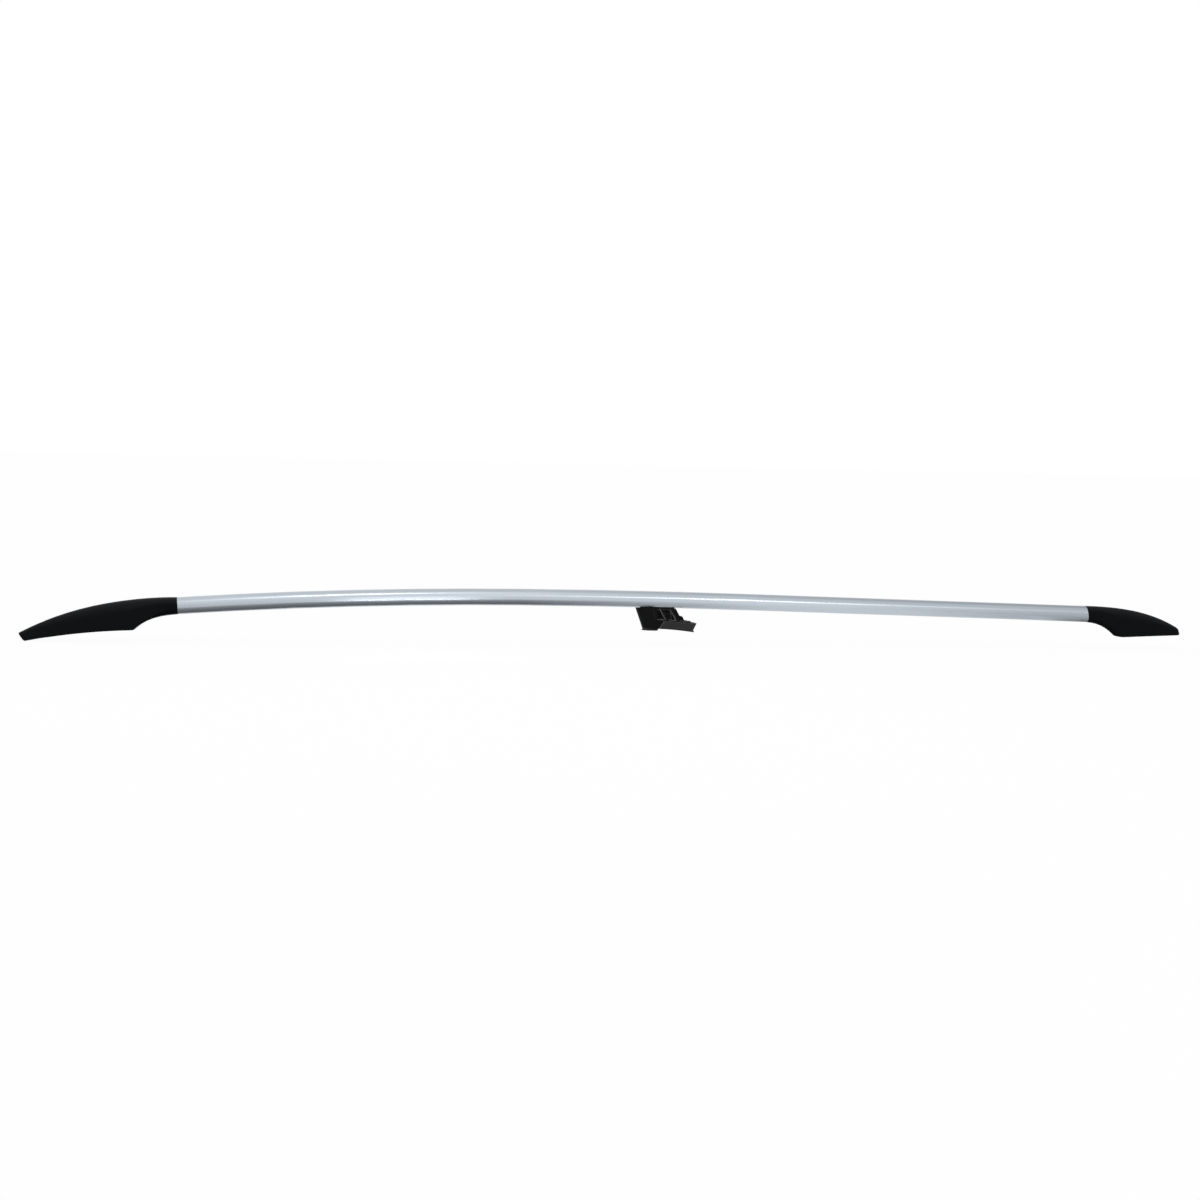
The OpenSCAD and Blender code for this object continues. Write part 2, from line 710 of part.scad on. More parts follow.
module bracket(c) {
    grip = max(tube_wall, cover_wall) + spigot_fit;
    difference() {
        union() {
            along_tube(c) translate([-spigot_len, 0, 0]) rotate([0, 90, 0])
                linear_extrude(height = spigot_len + heel_len(c) / 3) oval(-grip);
            rotate([90, 0, 0]) linear_extrude(height = arm_w, center = true) polygon(arm_outline(c));
            sole_strip(c, gasket_t, gasket_t + plate_t, plate_start(c), plate_end(c), plate_fit);
            for (n = [0, 1])
                insert_place(c, n) cylinder(r = insert_r + insert_wall, h = insert_len + insert_wall);
        }
        for (side = [0, 180])
            rotate([90, 0, 0]) rotate([0, side, 0]) mirror([side / 180, 0, 0])
                translate([0, 0, arm_web / 2]) linear_extrude(height = arm_w) polygon(pocket_outline(c));
        for (n = [0, 1]) {
            insert_place(c, n) translate([0, 0, -1])
                cylinder(r = insert_r + hair, h = insert_len + 1 + hair);
            insert_place(c, n) translate([0, 0, -far]) cylinder(r = insert_r + 2 * insert_wall, h = far);
        }
        tube_screw_places(c) cylinder(r = tube_screw_r + hair, h = tube_screw_len + 1);
        cover_screw_place(c) mirror([0, 0, 1])
            cylinder(r = cover_screw_head_r + driver_gap, h = 2 * plate_t);
        cover_screw_place(c) cylinder(r = cover_screw_r + driver_gap, h = 2 * plate_t);
    }
}
// Seat of a roof bolt, level with the cover's rim
module insert_place(c, n) {
    translate([bolt_at(c, n), 0, sole_z(c, bolt_at(c, n))]) children();
}
// Seat of the cover's screw, sunk in the base plate
module cover_screw_place(c) {
    on_sole(c, cover_screw_at(c)) translate([0, 0, gasket_t + plate_t - cover_screw_grip]) children();
}
module front_bracket() {
    color(cast_grey) at_front() bracket(front);
}
module rear_bracket() {
    color(cast_grey) at_rear() bracket(rear);
}

module insert() {
    difference() {
        cylinder(r = insert_r, h = insert_len);
        translate([0, 0, -1]) cylinder(r = thread_r, h = insert_len + 2);
    }
}
module front_inserts() {
    color(zinc) at_front() for (n = [0, 1]) insert_place(front, n) insert();
}
module rear_inserts() {
    color(zinc) at_rear() for (n = [0, 1]) insert_place(rear, n) insert();
}
// Flat-head screws, flush with the tube's underside so that no load bar's claw catches on them
module tube_screws(c) {
    socket_r = 1.7;
    socket_depth = 1.6;
    tube_screw_places(c) translate([0, 0, hair]) difference() {
        union() {
            countersink(0);
            cylinder(r = tube_screw_r, h = tube_screw_len);
        }
        translate([0, 0, -1]) cylinder(r = socket_r, h = 1 + socket_depth, $fn = 6);
    }
}
module front_tube_screws() {
    color(zinc) at_front() tube_screws(front);
}
module rear_tube_screws() {
    color(zinc) at_rear() tube_screws(rear);
}
module cover_screw(c) {
    cover_screw_place(c) pan_screw(cover_screw_r, cover_screw_len, cover_screw_head_r);
}
module front_cover_screw() {
    color(zinc) at_front() cover_screw(front);
}
module rear_cover_screw() {
    color(zinc) at_rear() cover_screw(rear);
}

// Rubber between base plate and roof, with holes for the bolts and the cover's screw
module end_gasket(c) {
    s = cover_screw_at(c);
    difference() {
        sole_strip(c, -gasket_proud, gasket_t - hair, plate_start(c), plate_end(c) + post_r, plate_fit / 2);
        for (n = [0, 1]) insert_place(c, n) translate([0, 0, -far / 2])
            cylinder(r = insert_r + insert_wall + driver_gap, h = far);
        translate([s, 0, -far / 2]) cylinder(r = cover_screw_head_r + 2 * driver_gap, h = far);
    }
}
module front_gasket() {
    color(rubber) at_front() end_gasket(front);
}
module rear_gasket() {
    color(rubber) at_rear() end_gasket(rear);
}

// The centre foot is drawn in the roof's own slope, about the centre seat
module on_roof() {
    rotate([0, seat_slope, 0]) children();
}
// A side outline given its thickness across the car
module across(width) {
    rotate([90, 0, 0]) linear_extrude(height = width, center = true) children();
}

// Leaning round nose with flat flanks, grown outwards all round
module nose_form(grow = 0) {
    r = nose_w / 2;
    below = 10;
    axis_x = -nose_ahead + r / cos(nose_lean) - tan(nose_lean) * nose_drop;
    intersection() {
        translate([axis_x, 0, 0]) rotate([0, -nose_lean, 0]) cylinder(r = r + grow, h = far, center = true);
        across(far) polygon([[-far, -far], [1 - nose_back, -far], [-nose_back, far], [-far, far]]);
    }
    across(nose_w + 2 * grow) polygon([
        [axis_x + tan(nose_lean) * below, -below],
        [2 - nose_back, -below],
        [-nose_back, roof_top],
        [axis_x - tan(nose_lean) * roof_top, roof_top]
    ]);
}
// A rib's side outline: a band with the common rake, its lower front corner in the flange at x
module raked_band(x, thickness) {
    low = shoe_h + flange_t / 2;
    run = (roof_top - low) * tan(rib_rake);
    wide = thickness / cos(rib_rake);
    polygon([[x, low], [x + wide, low], [x + wide - run, roof_top], [x - run, roof_top]]);
}
// The flange lies on the shoe and runs forward into the nose
module flange_outline() {
    into_nose = 4;
    polygon([
        [shoe_front_top - into_nose, shoe_h - flange_rise * into_nose],
        [flange_end, shoe_rear_h],
        [flange_end, shoe_rear_h + flange_t],
        [shoe_front_top - into_nose, shoe_h + flange_t - flange_rise * into_nose]
    ]);
}
// The web's foot has a level top and runs a little past the flange
module web_foot_outline() {
    end = flange_end + 2.4;
    run = 12.4;
    polygon([
        [end - run, shoe_rear_h - flange_rise * (flange_end - end + run)],
        [flange_end, shoe_rear_h],
        [end, shoe_rear_h],
        [end, shoe_rear_h + web_foot_t],
        [end - run, shoe_rear_h + web_foot_t - run * tan(seat_slope)]
    ]);
}
// Foot of the nose, its back lying along the front of the shoe
module nose_foot_outline() {
    back_run = 0.5;
    over = 1;
    polygon([
        [-nose_back - 2, -nose_drop],
        [pad_end, -nose_drop],
        [-shoe_ahead - shoe_gap + back_run, back_run * 2],
        [shoe_front_top - shoe_gap + back_run * over, shoe_h + over],
        [-nose_back - 2, shoe_h + over]
    ]);
}
// Middle web, stepped down to the flange behind the rear wall
module web_outline() {
    low = shoe_h + 0.6 * flange_t;
    step = [6, 25.2];
    ledge = [11.3, 24.2];
    toe_x = 17.3;
    polygon([
        [-nose_back - 2, low],
        [toe_x, low],
        ledge,
        step,
        [step[0] - (roof_top - step[1]) * tan(rib_rake), roof_top],
        [-nose_back - 2, roof_top]
    ]);
}
// Thickened flank that runs up the back of the nose
module flank_outline() {
    polygon([[-nose_back, shoe_h - 0.4], [-nose_back, roof_top], [-nose_back - 24, roof_top]]);
}

// Ribs, web, nose and flange as drawn before the tube's cradle is cut
module support_body() {
    on_roof() {
        intersection() {
            nose_form();
            translate([-far / 2, -far / 2, -nose_drop]) cube(far);
        }
        across(support_w) flank_outline();
        across(nose_w - 2) nose_foot_outline();
        across(support_w) flange_outline();
        across(support_w - 2) raked_band(rib_foot_x, rib_t);
        across(support_w - 2) raked_band(rear_wall_foot_x, rear_wall_t);
        across(web_t) web_outline();
        across(web_foot_w) web_foot_outline();
        shoe_screw_places() translate([0, 0, shoe_screw_grip + hair])
            cylinder(r = shoe_screw_r + 2.4, h = shoe_rear_h - shoe_boss_h + 1);
    }
    // Sleeve for the rear screw: wide below its seat, narrower above
    sleeve_wall = 1.8;
    translate([-rear_screw_ahead, 0, shoe_h + flange_t]) {
        seat_h = screw_seat_z(rear_screw_ahead) - shoe_h + 1;
        cylinder(r = centre_screw_head_r + driver_gap + sleeve_wall, h = seat_h);
        cylinder(r = centre_screw_r + 1.4 * sleeve_wall, h = roof_top);
    }
}
function screw_seat_z(ahead) = under_z(-ahead) - liner_t - screw_grip;
// Seats of the two screws that hold the shoe
module shoe_screw_places() {
    for (side = [-1, 1])
        translate([shoe_screw_x, side * shoe_screw_y, shoe_boss_h - shoe_screw_grip]) children();
}

// Room above the cradle's lips
module above_cradle() {
    across(far) polygon(concat(
        [for (x = [-far:10:far]) [x, under_z(x) + cradle_lip]],
        [[far, far], [-far, far]]
    ));
}
// Length of the foot that touches the tube, as a block of the cradle's width
module foot_reach() {
    low = 20;
    overhang = 9;
    wall_back = rear_wall_foot_x + rear_wall_t / cos(rib_rake) - (roof_top - shoe_h) * tan(rib_rake);
    across(cradle_w) polygon([
        [-nose_ahead - 4, low],
        [4, low],
        [wall_back + overhang - 2, roof_top],
        [-nose_ahead - tan(nose_lean) * roof_top + overhang, roof_top]
    ]);
}

module centre_support() {
    color(rib_black)
    difference() {
        union() {
            support_body();
            intersection() {
                over_foot(liner_t + cradle_t);
                on_roof() foot_reach();
            }
        }
        over_foot(liner_t);
        above_cradle();
        for (ahead = [front_screw_ahead, rear_screw_ahead])
            translate([-ahead, 0, screw_seat_z(ahead)]) {
                mirror([0, 0, 1]) cylinder(r = centre_screw_head_r + driver_gap, h = far);
                cylinder(r = centre_screw_r + driver_gap, h = roof_top);
                translate([0, 0, screw_grip - nut_flange_t])
                    cylinder(r = nut_flange_r + driver_gap, h = cradle_t);
            }
        on_roof() shoe_screw_places() cylinder(r = shoe_screw_r + hair, h = shoe_screw_len + 0.5);
    }
}

// Liner between the tube and its cradle
module tube_liner() {
    color(rubber)
    difference() {
        intersection() {
            over_foot(liner_t - hair);
            on_roof() foot_reach();
        }
        over_foot(liner_fit);
        above_cradle();
        centre_screw_places() cylinder(r = nut_flange_r + driver_gap, h = 10, center = true);
    }
}

module centre_screws() {
    length = screw_grip + liner_t + nut_grip - 1;
    color(zinc)
    for (ahead = [front_screw_ahead, rear_screw_ahead])
        translate([-ahead, 0, screw_seat_z(ahead)])
            pan_screw(centre_screw_r, length, centre_screw_head_r);
}
// Blind nuts set in the tube's underside
module rivet_nuts() {
    bulge_t = 2.4;
    color(zinc)
    centre_screw_places() translate([0, 0, -nut_flange_t])
    difference() {
        union() {
            cylinder(r = nut_flange_r, h = nut_flange_t - hair);
            cylinder(r = nut_r, h = nut_grip);
            translate([0, 0, nut_flange_t + tube_wall + hair]) cylinder(r = nut_flange_r, h = bulge_t);
        }
        translate([0, 0, -1]) cylinder(r = centre_screw_r + hair, h = nut_grip + 2);
    }
}

// Underside of the shoe: arched over the roof's own curve
function shoe_under_z(x) = shoe_arch * (0.35 - pow(x / shoe_behind, 2));
// Shoe outline in the roof's slope, with the notch across its rear end
module shoe_outline() {
    notch_z = 0.22 * shoe_h;
    front_run = (shoe_front_top + shoe_ahead) / shoe_h;
    front_x = -shoe_ahead + front_run * shoe_under_z(-shoe_ahead);
    rear_x = shoe_behind + shoe_overhang;
    polygon(concat(
        [for (k = [0:shoe_arch_steps])
            let(x = mix(front_x, shoe_behind, k / shoe_arch_steps)) [x, shoe_under_z(x)]],
        [
            [rear_x - notch_depth, notch_z],
            [rear_x, shoe_rear_h - hair],
            [flange_end, shoe_rear_h - hair],
            [shoe_front_top, shoe_h - hair]
        ]
    ));
}
module shoe_plan() {
    past = 5;
    corner_x = flange_end;
    rear_x = shoe_behind + shoe_overhang + past;
    rear_y = shoe_rear_w / 2 - shoe_corner * (rear_x - corner_x) / (rear_x - past - corner_x);
    polygon([
        [-shoe_ahead - past, -shoe_front_w / 2],
        [corner_x, -shoe_rear_w / 2],
        [rear_x, -rear_y],
        [rear_x, rear_y],
        [corner_x, shoe_rear_w / 2],
        [-shoe_ahead - past, shoe_front_w / 2]
    ]);
}
module shoe_hollow() {
    end = flange_end - 1;
    across(shoe_front_w - 2 * shoe_wall) polygon([
        [shoe_front_top - 2, shoe_wall],
        [end, shoe_wall],
        [end, roof_top],
        [shoe_front_top + shoe_wall, roof_top],
        [shoe_front_top + shoe_wall, shoe_h - 1]
    ]);
}
module centre_shoe() {
    seat_boss_r = insert_r + insert_wall;
    color(shoe_grey)
    difference() {
        union() {
            on_roof() difference() {
                intersection() {
                    across(far) shoe_outline();
                    translate([0, 0, -far / 2]) linear_extrude(height = far) shoe_plan();
                }
                shoe_hollow();
            }
            cylinder(r = seat_boss_r, h = insert_len);
            on_roof() shoe_screw_places() translate([0, 0, shoe_screw_grip - shoe_boss_h + 1])
                cylinder(r = shoe_boss_r, h = shoe_boss_h - 1);
        }
        // A level seat around the bolt, and room for the insert
        mirror([0, 0, 1]) cylinder(r = seat_boss_r + 3, h = shoe_h);
        translate([0, 0, -1]) cylinder(r = insert_r + hair, h = insert_len + 2);
        on_roof() shoe_screw_places() {
            translate([0, 0, -1]) cylinder(r = shoe_screw_r + driver_gap, h = shoe_screw_grip + 2);
            mirror([0, 0, 1]) cylinder(r = 2 * shoe_screw_r + driver_gap, h = shoe_boss_h);
        }
    }
}
module shoe_screws() {
    color(zinc)
    on_roof() shoe_screw_places() pan_screw(shoe_screw_r, shoe_screw_len, 2 * shoe_screw_r);
}
module centre_insert() {
    color(zinc) insert();
}

// Side outline of the rubber under the nose, thicker towards the front, and as high there and
// at its back as asked
module pad_outline(front_top, back_top) {
    past = 10;
    polygon([
        [-nose_ahead - past, pad_low - nose_pad_wedge],
        [-nose_ahead, pad_low - nose_pad_wedge],
        [pad_end, pad_low],
        [pad_end, back_top],
        [-nose_ahead, front_top],
        [-nose_ahead - past, front_top]
    ]);
}
// Rubber under the nose, with a thin lip around it
module centre_gasket() {
    pad_top = -nose_drop - hair;
    lip_h = nose_pad_t / 2;
    back_w = nose_w - 2;
    back_h = 12;
    color(rubber)
    difference() {
        on_roof() {
            intersection() {
                union() {
                    nose_form();
                    translate([-nose_back - 1, -back_w / 2, -back_h])
                        cube([pad_end + nose_back + 1, back_w, back_h]);
                }
                across(far) pad_outline(pad_top, pad_top);
            }
            intersection() {
                nose_form(pad_lip);
                across(far) pad_outline(pad_low - nose_pad_wedge + lip_h, pad_low + lip_h);
            }
        }
        translate([-front_screw_ahead, 0, -far / 2])
            cylinder(r = centre_screw_head_r + driver_gap, h = far);
    }
}

rail_tube();
front_cover();
rear_cover();
front_bracket();
rear_bracket();
front_joint_seal();
rear_joint_seal();
front_gasket();
rear_gasket();
front_inserts();
rear_inserts();
front_tube_screws();
rear_tube_screws();
front_cover_screw();
rear_cover_screw();
centre_support();
centre_shoe();
centre_gasket();
centre_insert();
tube_liner();
rivet_nuts();
centre_screws();
shoe_screws();
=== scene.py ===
import math

import bpy
from mathutils import Matrix, Quaternion, Vector


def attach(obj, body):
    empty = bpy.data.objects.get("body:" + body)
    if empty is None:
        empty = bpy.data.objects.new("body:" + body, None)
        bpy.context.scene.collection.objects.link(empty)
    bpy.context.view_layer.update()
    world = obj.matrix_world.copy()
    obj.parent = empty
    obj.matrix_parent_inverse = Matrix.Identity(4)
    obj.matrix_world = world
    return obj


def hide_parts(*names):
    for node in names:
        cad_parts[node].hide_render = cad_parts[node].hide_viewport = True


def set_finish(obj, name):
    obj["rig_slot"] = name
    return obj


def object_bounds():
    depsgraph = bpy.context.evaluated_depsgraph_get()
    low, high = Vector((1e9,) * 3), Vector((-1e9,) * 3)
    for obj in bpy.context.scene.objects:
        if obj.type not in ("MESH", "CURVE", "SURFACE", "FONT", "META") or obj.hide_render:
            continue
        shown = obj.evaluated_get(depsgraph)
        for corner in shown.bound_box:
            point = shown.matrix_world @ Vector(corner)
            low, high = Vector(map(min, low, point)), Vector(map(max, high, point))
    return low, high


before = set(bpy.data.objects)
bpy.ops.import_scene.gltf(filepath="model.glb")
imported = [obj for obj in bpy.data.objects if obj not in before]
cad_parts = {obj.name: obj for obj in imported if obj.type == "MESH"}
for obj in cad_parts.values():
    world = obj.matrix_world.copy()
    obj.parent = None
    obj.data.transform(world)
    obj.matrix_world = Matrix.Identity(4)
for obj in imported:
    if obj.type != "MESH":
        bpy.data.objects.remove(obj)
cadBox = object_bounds()
print("frame loaded")


# Pieces: each is a copy of a CAD node, merged into one skin, its facets smoothed and its edges softened

def deselectAll():
    bpy.ops.object.select_all(action="DESELECT")


def selectOnly(piece):
    deselectAll()
    piece.select_set(True)
    bpy.context.view_layer.objects.active = piece


def applyModifiers(piece):
    selectOnly(piece)
    for modifier in list(piece.modifiers):
        bpy.ops.object.modifier_apply(modifier=modifier.name)


def dressNode(nodeName, look):
    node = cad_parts[nodeName]
    piece = bpy.data.objects.new(look["name"], node.data.copy())
    piece.data.name = look["name"]
    bpy.context.scene.collection.objects.link(piece)
    piece.matrix_world = node.matrix_world.copy()
    selectOnly(piece)
    bpy.ops.object.mode_set(mode="EDIT")
    bpy.ops.mesh.select_all(action="SELECT")
    bpy.ops.mesh.remove_doubles(threshold=look["merge"])
    bpy.ops.mesh.dissolve_limited(angle_limit=math.radians(look["flatWithin"]))
    bpy.ops.mesh.select_all(action="DESELECT")
    bpy.ops.object.mode_set(mode="OBJECT")
    if "edge" in look:
        bevel = piece.modifiers.new("softEdge", "BEVEL")
        bevel.width = look["edge"]
        bevel.segments = look["edgeSteps"]
        bevel.limit_method = "ANGLE"
        bevel.angle_limit = math.radians(look["edgeAngle"])
        applyModifiers(piece)
    selectOnly(piece)
    bpy.ops.object.shade_smooth_by_angle(angle=math.radians(look["smoothAngle"]))
    weigh = piece.modifiers.new("flatsStayFlat", "WEIGHTED_NORMAL")
    weigh.keep_sharp = True
    applyModifiers(piece)
    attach(piece, "root")
    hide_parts(nodeName)
    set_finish(piece, look["slot"])
    return piece


# Lengths in metres, angles in degrees
tubeShape = {
    "name": "bowedTube", "slot": "tube", "merge": 1e-6, "flatWithin": 0.01, "smoothAngle": 32,
}
longCoverShape = {
    "name": "longCover", "slot": "cover", "merge": 1e-6, "flatWithin": 0.01, "smoothAngle": 36,
}
shortCoverShape = dict(longCoverShape, name="shortCover")
footShape = {
    "name": "ribbedFoot", "slot": "foot_plastic", "merge": 1e-6, "flatWithin": 0.05,
    "edge": 0.00035, "edgeSteps": 2, "edgeAngle": 38, "smoothAngle": 34,
}
shoeShape = {
    "name": "footShoe", "slot": "shoe_plastic", "merge": 1e-6, "flatWithin": 0.05,
    "edge": 0.0004, "edgeSteps": 2, "edgeAngle": 38, "smoothAngle": 34,
}
tube = dressNode("rail_tube", tubeShape)
longCover = dressNode("front_cover", longCoverShape)
shortCover = dressNode("rear_cover", shortCoverShape)
foot = dressNode("centre_support", footShape)
shoe = dressNode("centre_shoe", shoeShape)
for piece in (foot, shoe):
    piece.visible_glossy = False  # the satin tube shows no clear mirror image of the foot


# Hairline crease to close, where the upper and lower roundings of the short cover's nose meet
noseCrease = {
    "low": (0.9474, -0.02, 0.0012), "high": (0.96, 0.02, 0.0062), "merge": 0.0010,
    "settle": 2, "settleShare": 0.5,
}


def closeCrease(piece, look):
    for vertex in piece.data.vertices:
        vertex.select = all(a <= c <= b for a, c, b in zip(look["low"], vertex.co, look["high"]))
    selectOnly(piece)
    bpy.ops.object.mode_set(mode="EDIT")
    bpy.ops.mesh.select_mode(type="VERT")
    bpy.ops.mesh.remove_doubles(threshold=look["merge"])
    bpy.ops.mesh.vertices_smooth(factor=look["settleShare"], repeat=look["settle"])
    bpy.ops.object.mode_set(mode="OBJECT")


closeCrease(shortCover, noseCrease)
print("pieces dressed")


# Finishes

def startFinish(name, colour, roughness, metallic=0.0, specular=0.5):
    finish = bpy.data.materials.new(name)
    finish.use_nodes = True
    tree = finish.node_tree
    shader = tree.nodes["Principled BSDF"]
    shader.inputs["Base Color"].default_value = (*colour, 1)
    shader.inputs["Roughness"].default_value = roughness
    shader.inputs["Metallic"].default_value = metallic
    shader.inputs["Specular IOR Level"].default_value = specular
    return finish, tree, shader


def placedPattern(tree, stretch, detail=4.0, roughness=0.55, kind="ShaderNodeTexNoise"):
    place = tree.nodes.new("ShaderNodeTexCoord")
    mapping = tree.nodes.new("ShaderNodeMapping")
    mapping.inputs["Scale"].default_value = stretch
    pattern = tree.nodes.new(kind)
    pattern.inputs["Scale"].default_value = 1.0
    if kind == "ShaderNodeTexNoise":
        pattern.inputs["Detail"].default_value = detail
        pattern.inputs["Roughness"].default_value = roughness
    tree.links.new(place.outputs["Object"], mapping.inputs["Vector"])
    tree.links.new(mapping.outputs["Vector"], pattern.inputs["Vector"])
    return pattern


def spread(tree, source, low, high, fromLow=0.3, fromHigh=0.7):
    reach = tree.nodes.new("ShaderNodeMapRange")
    reach.inputs["From Min"].default_value = fromLow
    reach.inputs["From Max"].default_value = fromHigh
    reach.inputs["To Min"].default_value = low
    reach.inputs["To Max"].default_value = high
    tree.links.new(source, reach.inputs["Value"])
    return reach.outputs["Result"]


def mixColours(tree, amount, first, second):
    mix = tree.nodes.new("ShaderNodeMix")
    mix.data_type = "RGBA"
    tree.links.new(amount, mix.inputs["Factor"])
    for socket, colour in (("A", first), ("B", second)):
        place = [i for i in mix.inputs if i.name == socket and i.type == "RGBA"][0]
        if isinstance(colour, tuple):
            place.default_value = (*colour, 1)
        else:
            tree.links.new(colour, place)
    return [o for o in mix.outputs if o.type == "RGBA"][0]


def addBump(tree, shader, height, distance, strength=1.0, under=None):
    bump = tree.nodes.new("ShaderNodeBump")
    bump.inputs["Distance"].default_value = distance
    bump.inputs["Strength"].default_value = strength
    tree.links.new(height, bump.inputs["Height"])
    if under:
        tree.links.new(under, bump.inputs["Normal"])
    tree.links.new(bump.outputs["Normal"], shader.inputs["Normal"])
    return bump.outputs["Normal"]


# Anodised tube: faint drawing lines along the length, cloudy tone, a few rubbed patches
tubeFinish = {
    "colour": (0.503, 0.552, 0.606), "cloud": (0.536, 0.586, 0.640), "rubbed": (0.61, 0.65, 0.69),
    "roughLow": 0.26, "roughHigh": 0.32, "lines": (4.0, 1200.0, 1200.0),
    "clouds": (3.0, 24.0, 24.0), "rubs": (6.0, 60.0, 60.0), "rubShare": 0.5, "rubFrom": (0.62, 0.80),
    "lineDepth": 0.000002,
}


def makeTubeFinish(look):
    finish, tree, shader = startFinish("satinAnodised", look["colour"], look["roughLow"], metallic=1.0)
    lines = placedPattern(tree, look["lines"], detail=3.0)
    clouds = placedPattern(tree, look["clouds"], detail=3.0)
    rubs = placedPattern(tree, look["rubs"], detail=2.5, roughness=0.5)
    tone = mixColours(tree, spread(tree, clouds.outputs["Fac"], 0, 1), look["colour"], look["cloud"])
    worn = spread(tree, rubs.outputs["Fac"], 0, look["rubShare"], *look["rubFrom"])
    tone = mixColours(tree, worn, tone, look["rubbed"])
    tree.links.new(tone, shader.inputs["Base Color"])
    rough = spread(tree, lines.outputs["Fac"], look["roughLow"], look["roughHigh"])
    tree.links.new(rough, shader.inputs["Roughness"])
    addBump(tree, shader, lines.outputs["Fac"], look["lineDepth"])
    return finish


# Moulded plastic: a fine spark-eroded grain, pale flecks, slow tone changes and a painted sheen, a lighter
# colour on upward-facing faces as if lit from above
mouldedGrain = {"pitScale": 0.6, "fleckFrom": (0.55, 0.75), "faintestPaintedSheen": 0.75}


def makeMouldedFinish(name, look):
    finish, tree, shader = startFinish(name, look["colour"], look["roughLow"], specular=look["specular"])
    grain = placedPattern(tree, (look["grain"],) * 3, detail=2.0)
    pits = placedPattern(tree, (look["grain"] * mouldedGrain["pitScale"],) * 3, kind="ShaderNodeTexVoronoi")
    flow = placedPattern(tree, look["flow"], detail=5.0)
    tone = mixColours(tree, spread(tree, flow.outputs["Fac"], 0, 1), look["colour"], look["tone"])
    flecks = spread(tree, grain.outputs["Fac"], 0, look["speckle"], *mouldedGrain["fleckFrom"])
    tone = mixColours(tree, flecks, tone, look["fleck"])
    facing = tree.nodes.new("ShaderNodeNewGeometry")
    upward = tree.nodes.new("ShaderNodeSeparateXYZ")
    tree.links.new(facing.outputs["Normal"], upward.inputs["Vector"])
    paintedSheen = tree.nodes.new("ShaderNodeMath")  # painted sheen: what faces up is coloured lighter, standing in for light from above
    paintedSheen.operation = "MULTIPLY"
    tree.links.new(spread(tree, upward.outputs["Z"], 0, 1, *look["paintedSheenFrom"]), paintedSheen.inputs[0])
    tree.links.new(spread(tree, flow.outputs["Fac"], mouldedGrain["faintestPaintedSheen"], 1), paintedSheen.inputs[1])
    tone = mixColours(tree, paintedSheen.outputs[0], tone, look["paintedSheen"])
    tree.links.new(tone, shader.inputs["Base Color"])
    rough = spread(tree, flow.outputs["Fac"], look["roughLow"], look["roughHigh"])
    tree.links.new(rough, shader.inputs["Roughness"])
    pitted = addBump(tree, shader, pits.outputs["Distance"], look["pitDepth"])
    addBump(tree, shader, grain.outputs["Fac"], look["grainDepth"], under=pitted)
    return finish


# In each moulded finish, the colour laid on upward-facing faces is a painted sheen, standing in for light
# from above
coverFinish = {
    "colour": (0.0010, 0.0015, 0.0020), "tone": (0.0018, 0.0025, 0.0032), "fleck": (0.009, 0.010, 0.011),
    "speckle": 0.35, "roughLow": 0.44, "roughHigh": 0.56, "specular": 0.065,
    "grain": 1500.0, "flow": (9.0, 30.0, 30.0), "pitDepth": 0.00004, "grainDepth": 0.00005,
    "paintedSheen": (0.0110, 0.0122, 0.0140), "paintedSheenFrom": (0.25, 0.85),
}
footFinish = {
    "colour": (0.0028, 0.0030, 0.0032), "tone": (0.0052, 0.0054, 0.0056), "fleck": (0.020, 0.020, 0.020),
    "speckle": 0.4, "roughLow": 0.48, "roughHigh": 0.60, "specular": 0.06,
    "paintedSheen": (0.020, 0.020, 0.020), "paintedSheenFrom": (0.3, 0.9),
    "grain": 1100.0, "flow": (70.0, 70.0, 25.0), "pitDepth": 0.00003, "grainDepth": 0.00006,
}
shoeFinish = {
    "colour": (0.015, 0.015, 0.0155), "tone": (0.022, 0.022, 0.0225), "fleck": (0.045, 0.045, 0.045),
    "speckle": 0.4, "roughLow": 0.48, "roughHigh": 0.60, "specular": 0.18,
    "paintedSheen": (0.05, 0.05, 0.05), "paintedSheenFrom": (0.3, 0.9),
    "grain": 1100.0, "flow": (25.0, 70.0, 70.0), "pitDepth": 0.00003, "grainDepth": 0.00006,
}


# Rubber: dull, with a powdery bloom in soft random clouds
rubberFinish = {
    "colour": (0.011, 0.011, 0.011), "bloom": (0.030, 0.030, 0.029), "bloomFrom": (0.45, 0.72),
    "roughness": 0.78, "roughRange": (0.70, 0.88), "grain": 700.0, "clouds": 45.0, "depth": 0.00006,
}


def makeRubberFinish(look):
    finish, tree, shader = startFinish("dullRubber", look["colour"], look["roughness"], specular=0.3)
    grain = placedPattern(tree, (look["grain"],) * 3, detail=3.0)
    clouds = placedPattern(tree, (look["clouds"],) * 3, detail=6.0, roughness=0.65)
    bloom = spread(tree, clouds.outputs["Fac"], 0, 1, *look["bloomFrom"])
    tree.links.new(mixColours(tree, bloom, look["colour"], look["bloom"]), shader.inputs["Base Color"])
    tree.links.new(spread(tree, bloom, *look["roughRange"], 0, 1), shader.inputs["Roughness"])
    addBump(tree, shader, grain.outputs["Fac"], look["depth"])
    return finish


